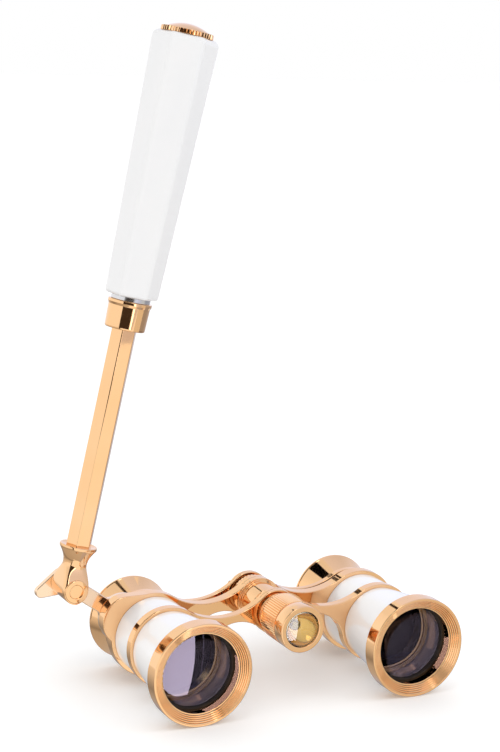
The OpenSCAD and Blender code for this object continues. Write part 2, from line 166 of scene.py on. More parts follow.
def crossing(a, ra, b, rb, way):
    """The point ra from a and rb from b, to the left (way 1) or right (way -1) of a -> b."""
    line = b - a
    d = line.length
    u = line / d
    along = (ra * ra - rb * rb + d * d) / (2 * d)
    up = math.sqrt(max(ra * ra - along * along, 0)) * way
    return a + u * along + Vector((-u.y, u.x)) * up


def toward(a, ra, p):
    """The point of circle (a, ra) nearest to p."""
    return a + (p - a).normalized() * ra


def sweep(hub, radius, start, end, way):
    """An arc from start to end: way 1 is anticlockwise and convex, way -1 clockwise and hollow."""
    first = math.atan2(start.y - hub.y, start.x - hub.x)
    turn = (math.atan2(end.y - hub.y, end.x - hub.x) - first) * way % (2 * math.pi) * way
    degrees_apart = 4.0
    count = max(3, int(abs(math.degrees(turn)) / degrees_apart))
    arc = []
    for k in range(count + 1):
        n = Vector((math.cos(first + turn * k / count), math.sin(first + turn * k / count)))
        arc.append((hub.x + n.x * radius, hub.y + n.y * radius, n.x * way, n.y * way))
    return arc


def circle(count):
    """Directions (cos, sin) round a full turn."""
    turns = [2 * math.pi * k / count for k in range(count)]
    return [(math.cos(t), math.sin(t)) for t in turns]


def hole(x, y, radius, count=72):
    """A bore: its normals point to its own centre."""
    return [(x + radius * c, y + radius * s, -c, -s) for c, s in circle(count)]


def joint(a, b):
    """Where arc a ends and arc b starts: they touch if one is hollow, or a straight line joins them."""
    (p, radius_p, way), (q, radius_q, other) = a, b
    if way != other:
        return toward(p, radius_p, q), toward(q, radius_q, p)
    line = (q - p).normalized()
    lean = (radius_p - radius_q) / (q - p).length
    n = line * lean + Vector((line.y, -line.x)) * way * math.sqrt(1 - lean * lean)
    return p + n * radius_p, q + n * radius_q


def chain(arcs):
    """A closed outline of arcs (centre, radius, way), in anticlockwise order."""
    joints = [joint(a, b) for a, b in zip(arcs, arcs[1:] + arcs[:1])]
    outline = []
    for (centre, radius, way), before, after in zip(arcs, joints[-1:] + joints[:-1], joints):
        outline += sweep(centre, radius, before[1], after[0], way)
    return outline


def tidy(loop):
    """The loop without points that repeat the one before."""
    return [p for p, q in zip(loop, loop[-1:] + loop[:-1])
            if abs(p[0] - q[0]) + abs(p[1] - q[1]) > 1e-4]


def mirrored(loop):
    return [(-x, y, -nx, ny) for x, y, nx, ny in reversed(loop)]


# ---- solids: lists of faces, each a list of (point, normal) corners ----

def skin(rows, wrap=False):
    """Faces between neighbouring rows of (point, normal); a row of one point is a pole."""
    faces = []
    for a, b in zip(rows, rows[1:] + rows[:1] if wrap else rows[1:]):
        count = max(len(a), len(b))
        for i in range(count):
            j = (i + 1) % count
            faces.append([a[i % len(a)], a[j % len(a)], b[j % len(b)], b[i % len(b)]])
    return faces


def lathe(outline, closed=True, segments=128, groove=None):
    """Turns an outline from rounded() about Z; groove(r, z, k) is cut from the radius at step k."""
    rows = []
    for r, z, nr, nz in outline:
        if r < TINY:
            rows.append([(Vector((0, 0, z)), Vector((0, 0, 1 if nz > 0 else -1)))])
            continue
        row = []
        for k, (c, s) in enumerate(circle(segments)):
            radius = r - groove(r, z, k) if groove else r
            row.append((Vector((radius * c, radius * s, z)), Vector((nr * c, nr * s, nz))))
        rows.append(row)
    return skin(rows, closed)


def turned(corners, fillet=0.15, segments=128):
    """A solid of revolution from its corners; it is open at the axis if both ends lie on it."""
    closed = corners[0][0] > TINY
    return lathe(rounded(corners, fillet, closed=closed), closed, segments)


def fluted(corners, count, depth, span, share):
    """A turned solid with grooves along the axis between the heights in span.

    share is how much of the pitch a groove takes.
    """
    closed = corners[0][0] > TINY
    outline = rounded(corners, closed=closed)
    near_edge = max(p[0] for p in outline) - depth * 1.6
    per_flute = 10

    def groove(r, z, k):
        if r <= near_edge or not span[0] <= z <= span[1]:
            return 0.0
        phase = abs((k / per_flute) % 1 - 0.5) * 2
        return depth * math.sin(max(0.0, 1 - phase / share) * math.pi / 2)

    return lathe(outline, closed, count * per_flute, groove)


def cap(loops, z, up, inset=0.0):
    """A flat face bounded by the first loop, with the others as holes in it."""
    rings = [[(x - nx * inset, y - ny * inset) for x, y, nx, ny in loop] for loop in loops]
    points = [Vector((x, y, z)) for ring in rings for x, y in ring]
    normal = Vector((0, 0, up))
    triangles = tessellate_polygon([[Vector((x, y, 0)) for x, y in ring] for ring in rings])
    return [[(points[i], normal) for i in triangle] for triangle in triangles]


def edge_rows(loop, z, up, edge, steps=3):
    """Rows from the flat face at z round its edge to the side wall."""
    rows = []
    for k in range(steps + 1):
        bend = math.radians(90) * k / steps
        inset = edge * (1 - math.sin(bend))
        height = z - up * edge * (1 - math.cos(bend))
        lift = up * math.cos(bend)
        rows.append([(Vector((x - nx * inset, y - ny * inset, height)),
                      Vector((nx * math.sin(bend), ny * math.sin(bend), lift)))
                     for x, y, nx, ny in loop])
    return rows


def wall(loop, z0, z1, edge0, edge1):
    """The side of a plate from z0 to z1; an edge of 0 is sharp."""
    return skin(edge_rows(loop, z0, -1, edge0) + edge_rows(loop, z1, 1, edge1)[::-1])


def slab(loops, z0, z1, edge=0.25):
    """A flat plate with round edges between z0 and z1."""
    faces = cap(loops, z0, -1, edge) + cap(loops, z1, 1, edge)
    for loop in loops:
        faces += wall(loop, z0, z1, edge, edge)
    return faces


def moved(faces, matrix):
    turn = matrix.to_3x3()
    return [[(matrix @ p, turn @ n) for p, n in face] for face in faces]


# ---- materials ----

def fill(node, values):
    """Sets inputs of a node; their names are in small letters."""
    for key, value in values.items():
        node.inputs[key.replace("_", " ").title().replace("Ior", "IOR")].default_value = value


def add(tree, kind, **values):
    """A new shader node with its inputs set."""
    node = tree.nodes.new(f"ShaderNode{kind}")
    fill(node, values)
    return node


def shader(name, **values):
    """A new Principled material, its node tree and its shader node."""
    material = bpy.data.materials.new(name)
    material.use_nodes = True
    tree = material.node_tree
    principled = tree.nodes["Principled BSDF"]
    fill(principled, values)
    return material, tree, principled


def coordinates(tree):
    """Object coordinates in mm."""
    scaled = add(tree, "Mapping", scale=(1 / MM, 1 / MM, 1 / MM))
    tree.links.new(add(tree, "TexCoord").outputs["Object"], scaled.inputs["Vector"])
    return scaled.outputs["Vector"]


def lathe_coordinates(tree):
    """(distance from the Z axis, 0, height) in mm, so that a texture makes rings."""
    split, flat, joined = [add(tree, f"{kind}XYZ") for kind in ("Separate", "Combine", "Combine")]
    distance = add(tree, "VectorMath")
    distance.operation = "LENGTH"
    tree.links.new(coordinates(tree), split.inputs[0])
    tree.links.new(split.outputs["X"], flat.inputs["X"])
    tree.links.new(split.outputs["Y"], flat.inputs["Y"])
    tree.links.new(flat.outputs[0], distance.inputs[0])
    tree.links.new(distance.outputs["Value"], joined.inputs["X"])
    tree.links.new(split.outputs["Z"], joined.inputs["Z"])
    return joined.outputs[0]


def noise(tree, vector, scale, detail=3.0, distortion=0.0):
    node = add(tree, "TexNoise", scale=scale, detail=detail, distortion=distortion)
    tree.links.new(vector, node.inputs["Vector"])
    return node.outputs["Fac"]


# The middle of a noise's range, over which colours and roughness spread.
CALM, WILD = 0.3, 0.7


def vary_colour(tree, principled, factor, *colours):
    ramp = add(tree, "ValToRGB")
    ends = ramp.color_ramp.elements
    for element, colour, place in zip(ends, (colours[0], colours[-1]), (CALM, WILD)):
        element.position = place
        element.color = (*colour, 1)
    for k, colour in enumerate(colours[1:-1], 1):
        element = ends.new(CALM + (WILD - CALM) * k / (len(colours) - 1))
        element.color = (*colour, 1)
    tree.links.new(factor, ramp.inputs["Fac"])
    tree.links.new(ramp.outputs["Color"], principled.inputs["Base Color"])


def vary_roughness(tree, principled, factor, low, high):
    spread = add(tree, "MapRange", from_min=CALM, from_max=WILD, to_min=low, to_max=high)
    tree.links.new(factor, spread.inputs["Value"])
    tree.links.new(spread.outputs["Result"], principled.inputs["Roughness"])


def bump(tree, principled, height, depth):
    """Bump of the given depth in mm."""
    node = add(tree, "Bump", distance=depth * MM)
    tree.links.new(height, node.inputs["Height"])
    tree.links.new(node.outputs["Normal"], principled.inputs["Normal"])


def textured(name, colours, stains, rough, smears, grain, depth, rings=False, **values):
    """A material whose colours, roughness and relief follow noises (scale, detail, distortion).

    rings turns the grain into the marks of a lathe tool.
    """
    material, tree, principled = shader(name, **values)
    place = coordinates(tree)
    vary_colour(tree, principled, noise(tree, place, *stains), *colours)
    vary_roughness(tree, principled, noise(tree, place, *smears), *rough)
    bump(tree, principled, noise(tree, lathe_coordinates(tree) if rings else place, *grain), depth)
    return material


def gold(name, light, deep, rough, rings):
    """Polished plating with faint smears."""
    grain, depth = ((7.0, 2.0), 0.0008) if rings else ((0.35, 2.0), 0.0012)
    return textured(name, (light, deep), (0.06, 2.0), rough, (0.25, 4.0, 0.6), grain, depth, rings,
                    metallic=1.0)


def rose_gold():
    return gold("rose_gold", (0.95, 0.60, 0.33), (0.93, 0.565, 0.29), (0.03, 0.075), False)


def rose_gold_turned():
    return gold("rose_gold_turned", (0.95, 0.60, 0.33), (0.93, 0.57, 0.295), (0.05, 0.10), True)


def rose_gold_pale():
    return gold("rose_gold_pale", (0.96, 0.72, 0.52), (0.94, 0.69, 0.48), (0.05, 0.10), False)


def gold_brass():
    return gold("gold_brass", (0.95, 0.70, 0.34), (0.90, 0.62, 0.26), (0.08, 0.16), True)


def lamp_gold():
    return gold("lamp_gold", (0.78, 0.52, 0.20), (0.66, 0.45, 0.17), (0.07, 0.14), True)


def steel():
    return gold("steel", (0.74, 0.74, 0.75), (0.66, 0.66, 0.68), (0.18, 0.26), True)


def white_enamel():
    """Pearly stove enamel under a clear glaze."""
    pearl = (0.865, 0.865, 0.88), (0.88, 0.875, 0.88), (0.895, 0.885, 0.88)
    return textured("white_enamel", pearl, (0.10, 3.0, 0.8), (0.29, 0.38), (0.5, 3.0), (0.25, 2.0), 0.002,
                    coat_weight=0.85, coat_roughness=0.04, ior=1.5)


def white_grip():
    """Moulded lacquered plastic."""
    whites = (0.765, 0.765, 0.77), (0.785, 0.78, 0.78)
    return textured("white_grip", whites, (0.05, 3.0, 0.5), (0.29, 0.36), (0.6, 3.0), (0.2, 2.0), 0.003,
                    coat_weight=0.5, coat_roughness=0.08, ior=1.48)


def black(name, low, high, rough, rings, gloss=0.5):
    """Black finish between two shades, turned or grained."""
    return textured(name, (low, high), (0.5,), rough, (1.5, 4.0), (5.0,) if rings else (8.0, 5.0), 0.02,
                    rings, ior=1.5, specular_ior_level=gloss)


def black_anodised():
    return black("black_anodised", (0.010, 0.009, 0.010), (0.022, 0.019, 0.019), (0.29, 0.42), True, 0.3)


def black_flock():
    return black("black_flock", (0.006, 0.006, 0.007), (0.014, 0.013, 0.013), (0.7, 0.95), False, 0.1)


def black_plastic():
    return black("black_plastic", (0.02, 0.02, 0.022), (0.04, 0.04, 0.042), (0.35, 0.5), False)


def glass(name, tint, reflected):
    """Clear glass with an anti-reflection coating that gives its reflections a colour."""
    material, tree, principled = shader(
        name, transmission_weight=1.0, ior=1.6, specular_ior_level=0.8, base_color=(*tint, 1),
        specular_tint=(*reflected, 1))
    place = coordinates(tree)
    vary_roughness(tree, principled, noise(tree, place, 0.3, 4.0, 0.5), 0.0, 0.012)
    return material


def coated_glass():
    return glass("coated_glass", (0.52, 0.48, 0.55), (0.92, 0.80, 1.0))


def clear_glass():
    return glass("clear_glass", (0.94, 0.96, 0.98), (0.8, 0.85, 1.0))


def lamp_dome():
    return glass("lamp_dome", (1.0, 0.97, 0.82), (1.0, 1.0, 1.0))


def led_body():
    """Yellow phosphor in a moulded cup."""
    yellows = (0.30, 0.24, 0.06), (0.42, 0.34, 0.10)
    return textured("led_body", yellows, (2.0,), (0.3, 0.5), (3.0,), (6.0, 4.0), 0.01,
                    ior=1.45, coat_weight=0.3)


MATERIALS = {make.__name__: make() for make in (
    rose_gold, gold_brass, white_enamel, white_grip, black_anodised, black_flock, coated_glass,
    clear_glass, lamp_dome, lamp_gold, led_body, black_plastic, steel)}
TURNED_GOLD = rose_gold_turned()
PALE_GOLD = rose_gold_pale()


# ---- pieces ----

def in_scene(name, data):
    """A new object of the scene."""
    thing = bpy.data.objects.new(name, data)
    bpy.context.scene.collection.objects.link(thing)
    return thing


def mesh_object(name, points, polygons, material):
    mesh = bpy.data.meshes.new(name)
    mesh.from_pydata(points, [], polygons)
    mesh.materials.append(material)
    return in_scene(name, mesh)


def piece(node, place, faces, material=None, smooth_angle=None):
    """Welds faces into one mesh at place that stands for a CAD node and rides on its body."""
    index, points, polygons, normals = {}, [], [], []
    for face in faces:
        corners = []
        for p, n in face:
            key = (round(p.x, 4), round(p.y, 4), round(p.z, 4))
            if key not in index:
                index[key] = len(points)
                points.append(p * MM)
            if index[key] not in [c[0] for c in corners]:
                corners.append((index[key], n))
        if len(corners) < 3:
            continue
        a, b, c = [Vector(points[corners[k][0]]) for k in (0, 1, 2)]
        facing = (b - a).cross(c - a)
        if len(corners) > 3:
            d = Vector(points[corners[3][0]])
            facing = (c - a).cross(d - b)
        if facing.dot(sum((n for _, n in corners), Vector())) < 0:
            corners.reverse()
        polygons.append([c[0] for c in corners])
        normals += [c[1] for c in corners]
    thing = mesh_object(f"{node}_look", points, polygons, material or MATERIALS[SLOT_OF[node]])
    mesh = thing.data
    mesh.polygons.foreach_set("use_smooth", [True] * len(mesh.polygons))
    if smooth_angle is None:
        mesh.normals_split_custom_set([n.normalized() for n in normals])
    else:
        mesh.set_sharp_from_angle(angle=math.radians(smooth_angle))
    thing.matrix_world = place
    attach(thing, BODY_OF[node])
    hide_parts(node)
    return thing


def objective_ring(node, place):
    """Front ring: polished side, narrow flat rim, then fine round ridges sinking to the lip."""
    radius = reach(node, place)[1].x
    opening = reach(same_side("objective_lens", node), place)[1].x + 0.05
    depth = reach(same_side("front_cone", node), place)[0].z
    rim, lip_land, lip_drop, ridge_count, ridge_h = 0.75, 0.35, 1.75, 5, 0.25
    sleeve_t, sleeve_end = 0.6, 9.0
    outer, inner = radius - rim, opening + lip_land
    steps = ridge_count * 8
    corners = [(radius, depth, 0.2), (radius, 0.0, 0.35), (outer + 0.08, 0.0, 0.08)]
    for k in range(steps + 1):
        u = k / steps
        swell = abs(math.sin(math.pi * ridge_count * u)) ** 0.8 * ridge_h
        corners.append((outer + (inner - outer) * u, 0.12 + lip_drop * u - swell, 0.03))
    corners += [(opening, lip_drop + 0.16, 0.12), (opening, sleeve_end, 0.1),
                (opening + sleeve_t, sleeve_end, 0.1), (opening + sleeve_t, depth, 0.05)]
    piece(node, place, lathe(rounded(corners, 0.1), True, 160), TURNED_GOLD)


def lens_retainer(node, place):
    """Black threaded ring in front of the lens, with fine baffle grooves."""
    low, high = reach(node, place)
    width, length, groove_count, groove = 0.6, 1.4, 3, 0.13
    outer, inner = high.x, high.x - width
    front = max(low.z, high.z - length)
    pitch = (front - high.z) / groove_count
    corners = [(outer, front), (outer, high.z)]
    for k in range(groove_count):
        z = high.z + pitch * k
        corners += [(inner, z, 0.03), (inner + groove, z + pitch / 2, 0.03)]
    piece(node, place, turned(corners + [(inner, front, 0.03)], 0.05))


def lens(node, place, radius, z0, z1, front, back):
    """A lens whose faces stand out by front and back mm; negative is hollow."""
    count, edge = 14, 0.12

    def face(z, bulge, steps):
        return [(radius * k / count, z - bulge * (1 - (k / count) ** 2), 0) for k in steps]

    corners = face(z0, front, range(count)) + [(radius, z0, edge), (radius, z1, edge)]
    corners += face(z1, -back, range(count - 1, -1, -1))
    piece(node, place, lathe(rounded(corners, 0, 3, False), False))


def objective_lens(node, place):
    low, high = reach(node, place)
    bulge = 1.4
    lens(node, place, high.x, low.z + bulge, high.z - bulge, bulge, bulge)


def front_cone(node, place):
    low, high = reach(node, place)
    rear_r = reach(same_side("rear_barrel", node), place)[1].x - 0.6
    seat_r, seat_z, hollow_z = 13.1, low.z + 5.8, 22.0
    corners = [(high.x, low.z, 0.2), (rear_r, high.z, 0.2), (TUBE_R, high.z), (TUBE_R, hollow_z),
               (seat_r - 0.5, seat_z + 0.7), (seat_r, seat_z), (seat_r, low.z)]
    piece(node, place, turned(corners, 0.1))


def stop_ring(node, place):
    """Bright ring at the mouth of the inner tube, stepped like a thread."""
    low, high = reach(node, place)
    outer, rim_end = high.x, low.z + 1.6
    bore, step, step_z = 9.8, 0.35, low.z + 0.9
    corners = [(outer, low.z, 0.15), (outer, rim_end, 0.1), (outer - 0.2, rim_end, 0.05),
               (outer - 0.2, high.z, 0.1), (bore, high.z, 0.1), (bore, step_z, 0.05),
               (bore + step, step_z - 0.15, 0.05), (bore + step, low.z, 0.15)]
    piece(node, place, turned(corners))


def rear_barrel(node, place):
    low, high = reach(node, place)
    corners = [(high.x, low.z, 0.2), (high.x, high.z, 0.2), (TUBE_R, high.z), (TUBE_R, low.z)]
    piece(node, place, turned(corners))


def eyecup(node, place):
    """Flared gold cup with a rolled rim and a fine line behind it."""
    low, high = reach(node, place)
    rim_r, neck_r, bore = high.x, high.x - 2.8, 9.9
    line_z, floor_z = high.z - 1.3, high.z - 5.1
    flare_count = 12
    corners = [(neck_r, low.z, 0.15)]
    for k in range(1, flare_count + 1):
        u = k / flare_count
        corners.append((neck_r + (rim_r - 0.12 - neck_r) * (0.72 * u + 0.28 * u * u),
                        low.z + (line_z - low.z) * u, 0.05 if k < flare_count else 0.1))
    corners += [(rim_r - 0.3, line_z + 0.12, 0.04), (rim_r, line_z + 0.35, 0.15),
                (rim_r, high.z - 0.1, 0.35), (rim_r - 0.9, high.z, 0.35), (rim_r - 1.6, floor_z, 0.1),
                (bore, floor_z, 0.1), (bore, low.z, 0.1)]
    piece(node, place, turned(corners, 0.1), TURNED_GOLD)


def eye_retainer(node, place):
    """Black dish that holds the eye lens."""
    low, high = reach(node, place)
    rim_r, bore, sleeve_r, foot_r = high.x, 6.0, 10.2, 8.2
    floor, foot_z = high.z - 4.3, low.z + 0.2
    dish_count = 8
    corners = [(bore, floor + 0.05, 0.15)]
    for k in range(dish_count + 1):
        u = k / dish_count
        corners.append((bore + 0.3 + (rim_r - 0.8 - bore - 0.3) * u,
                        floor + (high.z - floor) * u ** 2.4, 0.05))
    corners += [(rim_r, high.z), (rim_r - 0.6, floor - 0.4), (sleeve_r, floor - 0.4),
                (sleeve_r, foot_z), (foot_r, foot_z), (foot_r, low.z), (bore, low.z)]
    piece(node, place, turned(corners, 0.1))


def eye_lens(node, place):
    low, high = reach(node, place)
    lens(node, place, high.x, low.z, high.z, -0.7, -0.7)


def lobe_arc(barrel, lobe_r, start, end, lug):
    """The lobe's edge from below to above, round the bracket's lug where there is one."""
    if lug is None:
        return sweep(barrel, lobe_r, start, end, 1)
    top = lug.y + LUG_R
    meet = crossing(barrel, lobe_r, lug, LUG_R, -1)
    join = Vector((barrel.x + math.sqrt(lobe_r * lobe_r - top * top), top))
    return (sweep(barrel, lobe_r, start, meet, 1) + sweep(lug, LUG_R, meet, Vector((lug.x, top)), 1)
            + [(join.x, join.y, 0, 1)] + sweep(barrel, lobe_r, join, end, 1))


def leaf(kind, name, bore, pin_bore, lobe_r, eye_first, lug=None):
    """A bridge leaf: lobe round the barrel, waisted web, and a hinge eye in half of its depth."""
    node = f"{kind}_{name}"
    low, high = reach(node, PLATES)
    play = 0.04
    front, back = high.z - play, low.z + play
    hub_r, hollow_r, arch_r, gap, bite, edge = 7.4, 21.7, 11.7, 0.1, 0.05, 0.3
    hub, barrel = Vector((0, HUB_Z)), Vector((HALF_GAP, 0))
    web_r, end_r = hub_r - bite, lobe_r - bite
    hollow = crossing(hub, web_r + hollow_r, barrel, end_r + hollow_r, 1)
    arch = crossing(hub, web_r + arch_r, barrel, end_r + arch_r, -1)
    arch_hub, arch_end = toward(hub, web_r, arch), toward(barrel, end_r, arch)
    top_hub, top_end = toward(hub, web_r, hollow), toward(barrel, end_r, hollow)
    clear = hub_r + gap
    low_cut = crossing(hub, clear, arch, arch_r, 1)
    top_cut = crossing(hub, clear, hollow, hollow_r, -1)
    shared = (sweep(arch, arch_r, low_cut, arch_end, -1)
              + lobe_arc(barrel, lobe_r, arch_end, top_end, lug)
              + sweep(hollow, hollow_r, top_end, top_cut, -1))
    eye = (sweep(hollow, hollow_r, top_cut, top_hub, -1) + sweep(hub, hub_r, top_hub, arch_hub, 1)
           + sweep(arch, arch_r, arch_hub, low_cut, -1))
    notch = sweep(hub, clear, top_cut, low_cut, -1)
    with_eye, without_eye = tidy(shared + eye), tidy(shared + notch)
    step = tidy(eye + [(x, y, -nx, -ny) for x, y, nx, ny in reversed(notch)])
    if SIDES[name] < 0:
        with_eye, without_eye, step = mirrored(with_eye), mirrored(without_eye), mirrored(step)
    barrel_hole, pin_hole = hole(SIDES[name] * HALF_GAP, 0, bore), hole(0, HUB_Z, pin_bore)
    # Local Z runs towards the objectives, so the front face is the highest. The eyes of the two
    # leaves stay clear of each other at the middle of the thickness.
    split = (front + back) / 2 + (gap / 2 if eye_first else -gap / 2)
    near, far = (with_eye, without_eye) if eye_first else (without_eye, with_eye)
    near_holes = [barrel_hole] + ([pin_hole] if eye_first else [])
    far_holes = [barrel_hole] + ([] if eye_first else [pin_hole])
    faces = cap([near] + near_holes, front, 1, edge) + cap([far] + far_holes, back, -1, edge)
    faces += cap([step, pin_hole], split, -1 if eye_first else 1)
    faces += wall(near, split, front, 0, edge) + wall(far, back, split, edge, 0)
    faces += wall(barrel_hole, back, front, edge, edge)
    pin_low, pin_high = (split, front) if eye_first else (back, split)
    faces += wall(pin_hole, pin_low, pin_high, 0 if eye_first else edge, edge if eye_first else 0)
    piece(node, PLATES, faces)


def bridges(name):
    first = SIDES[name] < 0
    column_r, sleeve_r = 6.0, 4.4
    leaf("front_bridge", name, TUBE_R, column_r, 13.0, first)
    leaf("ocular_bridge", name, DRAW_R, sleeve_r, 12.4, first)
    lug = lug_centre()
    # A leaf is drawn as the right one and then mirrored.
    leaf("mid_bridge", name, TUBE_R, column_r, 13.8, first, Vector((-lug.x, lug.y)) if first else None)


def lug_centre():
    """Where the bracket's lug sits, from the middle bridge's own corner."""
    low, _ = reach("mid_bridge_left", PLATES)
    return Vector((low.x + LUG_R, 5.6))


def bracket_outline():
    """Lobe behind the middle bridge, arm, disc round the pivot and the thumb tab."""
    lobe, lobe_r = Vector((-HALF_GAP, 0)), 13.0
    lug, lug_r = lug_centre(), 7.6
    pivot = Vector((PIVOT.x - hinge_centre.x, PIVOT.z - AXIS_Z))
    disc_r, tab_r, tab_drop, half_arm, fillet = 4.17, 1.9, 2.9, 2.6, 2.0
    tab = Vector((reach("handle_bracket", PLATES)[0].x + tab_r, pivot.y - tab_drop))
    along = (lug - pivot).normalized()
    across = Vector((-along.y, along.x)) * (half_arm + fillet)

    def beside_arm(radius):
        """How far along the arm a fillet sits from the centre of a round of this radius."""
        return along * math.sqrt((radius + fillet) ** 2 - (half_arm + fillet) ** 2)

    at_disc, at_lug = pivot + beside_arm(disc_r), lug - beside_arm(lug_r)
    neck_low, neck_top = [crossing(lug, lug_r + fillet, lobe, lobe_r + fillet, way) for way in (-1, 1)]
    outline = chain([
        (tab, tab_r, 1), (pivot, disc_r, 1), (at_disc - across, fillet, -1), (at_lug - across, fillet, -1),
        (lug, lug_r, 1), (neck_low, fillet, -1), (lobe, lobe_r, 1), (neck_top, fillet, -1),
        (lug, lug_r, 1), (at_lug + across, fillet, -1), (at_disc + across, fillet, -1),
        (pivot, disc_r, 1)])
    return tidy(outline), pivot


def handle_bracket():
    low, high = reach("handle_bracket", PLATES)
    outline, pivot = bracket_outline()
    holes = [hole(-HALF_GAP, 0, TUBE_R), hole(pivot.x, pivot.y, PIN_R, 32)]
    piece("handle_bracket", PLATES, slab([outline] + holes, low.z, high.z, 0.35), PALE_GOLD)


def bracket_screws():
    """Two slotless round-head rivets."""
    low, high = reach("bracket_screws", PLATES)
    radius, head = 1.62, high.z - low.z
    lug = lug_centre()
    spots = [(lug.x - 4.2, lug.y + 3.4), (lug.x - 4.9, lug.y - 2.0)]
    dome = [(radius * math.sin(math.radians(a)), high.z - head * math.cos(math.radians(a)), 0)
            for a in range(0, 91, 10)]
    rivet = turned(dome + [(0, high.z, 0)], 0, 48)
    faces = [face for x, y in spots for face in moved(rivet, Matrix.Translation((x, y, 0)))]
    piece("bracket_screws", PLATES, faces)


def pivot_pin():
    low, high = reach("pivot_pin", PIN)
    head_r, head_end = high.x, low.z + 1.3
    piece("pivot_pin", PIN, turned([
        (0, low.z), (head_r, low.z, 0.3), (head_r, head_end, 0.1), (PIN_R, head_end, 0.1),
        (PIN_R, high.z, 0.3), (0, high.z)], 0.2, 64), PALE_GOLD)


def pivot_nut():
    """Hexagonal nut with chamfered corners."""
    low, high = reach("pivot_nut", PIN)
    loop = hexagon(3, 0.3, 0.0, 3)
    piece("pivot_nut", PIN, slab([loop, hole(0, 0, PIN_R + 0.05, 32)], low.z, high.z))


def hinge_column():
    """Bright column with turned grooves and a stepped flange against the middle bridge."""
    low, high = reach("hinge_column", HINGE)
    radius = high.x
    mid = -reach("mid_bridge_left", PLATES)[1].z
    sleeve_bore, spindle_bore, sleeve_z = 4.45, 2.55, mid - 6.4
    corners = [(radius, low.z, 0.2), (radius, low.z + 1.0, 0.1)]
    groove = 0.22
    for z in (low.z + 5.2, low.z + 6.1):
        corners += [(radius, z, 0.06), (radius - groove, z + 0.12, 0.04),
                    (radius - groove, z + 0.3, 0.04), (radius, z + 0.42, 0.06)]
    flange_r, flange_steps, step_t = 7.5, 4, 0.45
    start = mid - flange_steps * step_t
    for k in range(flange_steps):
        r = radius + (flange_r - radius) * (k + 1) / flange_steps
        corners += [(r, start + k * step_t, 0.15), (r, start + (k + 0.7) * step_t, 0.1),
                    (r - 0.14, start + (k + 0.85) * step_t, 0.04)]
    corners += [(flange_r, mid - 0.05, 0.05), (radius, mid - 0.05, 0.05), (radius, high.z, 0.2),
                (sleeve_bore, high.z), (sleeve_bore, sleeve_z), (spindle_bore, sleeve_z),
                (spindle_bore, low.z)]
    piece("hinge_column", HINGE, turned(corners, 0.1, 96), TURNED_GOLD)


def column_nut():
    """Round nut with a knurled edge."""
    low, high = reach("column_nut", HINGE)
    bore = 6.02
    corners = [(high.x, low.z, 0.15), (high.x, high.z, 0.25), (bore, high.z, 0.1), (bore, low.z, 0.1)]
    faces = fluted(corners, 36, 0.16, (low.z - 1, high.z + 1), 0.5)
    piece("column_nut", HINGE, faces, None, 30)


def hub_cap():
    """Domed cap with a ring groove round the dome."""
    low, high = reach("hub_cap", HINGE)
    r, dome_r, rise = high.x, high.x * 0.78, 0.7
    dome = [(dome_r * math.cos(math.radians(a)), high.z - rise + rise * math.sin(math.radians(a)), 0)
            for a in range(10, 90, 10)]
    corners = [(0, low.z), (r, low.z, 0.15), (r, low.z + 0.9, 0.3), (r * 0.86, low.z + 1.25, 0.1),
               (r * 0.83, low.z + 1.1, 0.05), (dome_r, low.z + 1.5, 0.1)] + dome + [(0, high.z, 0)]
    piece("hub_cap", HINGE, turned(corners, 0.1, 96), TURNED_GOLD)


def focus_knob():
    """Smooth rim, fine flutes, then a grooved neck against the front bridge."""
    low, high = reach("focus_knob", HINGE)
    radius = high.x
    bore = reach("lamp_lens", HINGE)[1].x + 0.3
    spindle_r, floor_z = 2.5, high.z - 3.4
    flute_end, neck_r, groove_r, groove = high.z - 2.3, 6.7, 6.05, 0.8
    rim_end = low.z + 5.0
    corners = [(bore, low.z + 0.05, 0.15), (radius, low.z, 0.3), (radius, rim_end - 0.15, 0.08),
               (radius - groove, rim_end - 0.1, 0.05), (radius - groove, rim_end + 0.4, 0.05),
               (radius, rim_end + 0.45, 0.08), (radius, rim_end + 1.0, 0.0),
               (radius, flute_end - 0.4, 0.0), (radius - 0.1, flute_end, 0.3)]
    z = flute_end
    for width in (0.55, 0.45, 0.45):
        land_end = z + 0.35 + width * 0.7
        corners += [(groove_r, z + 0.08, 0.08), (groove_r, z + 0.25, 0.08), (neck_r, z + 0.35, 0.12),
                    (neck_r, land_end, 0.12)]
        z = land_end
    corners += [(neck_r - 0.2, high.z, 0.1), (spindle_r, high.z, 0.1), (spindle_r, floor_z, 0.1),
                (bore, floor_z, 0.1)]
    faces = fluted(corners, 64, 0.28, (rim_end + 0.4, flute_end), 0.5)
    piece("focus_knob", HINGE, faces, TURNED_GOLD, 32)


def lamp():
    """Clear dome over a dished reflector with the light source in its middle."""
    low, high = reach("lamp_lens", HINGE)
    lens("lamp_lens", HINGE, high.x, low.z + 1.0, high.z, 1.0, 0)
    low, high = reach("lamp_reflector", HINGE)
    count = 12
    mouth, floor_r = high.x - 0.35, 1.3
    bowl = [(floor_r + (mouth - floor_r) * k / count,
             high.z - 0.35 - (high.z - low.z - 0.5) * (k / count) ** 1.8, 0.0) for k in range(count + 1)]
    corners = bowl + [(high.x - 0.3, low.z, 0.05), (high.x, low.z, 0.1), (high.x, high.z, 0.1),
                      (floor_r, high.z, 0.05)]
    piece("lamp_reflector", HINGE, turned(corners, 0.05, 96))
    low, high = reach("lamp_led", HINGE)
    chip = rounded([(-0.8, -0.8), (0.8, -0.8), (0.8, 0.8), (-0.8, 0.8)], 0.2, 3)
    faces = slab([chip], low.z, low.z + 0.75, 0.12)
    base_z = low.z + 0.6
    faces += turned([(0, base_z), (high.x, base_z), (high.x, high.z), (0, high.z)], 0.1, 64)
    piece("lamp_led", HINGE, faces)


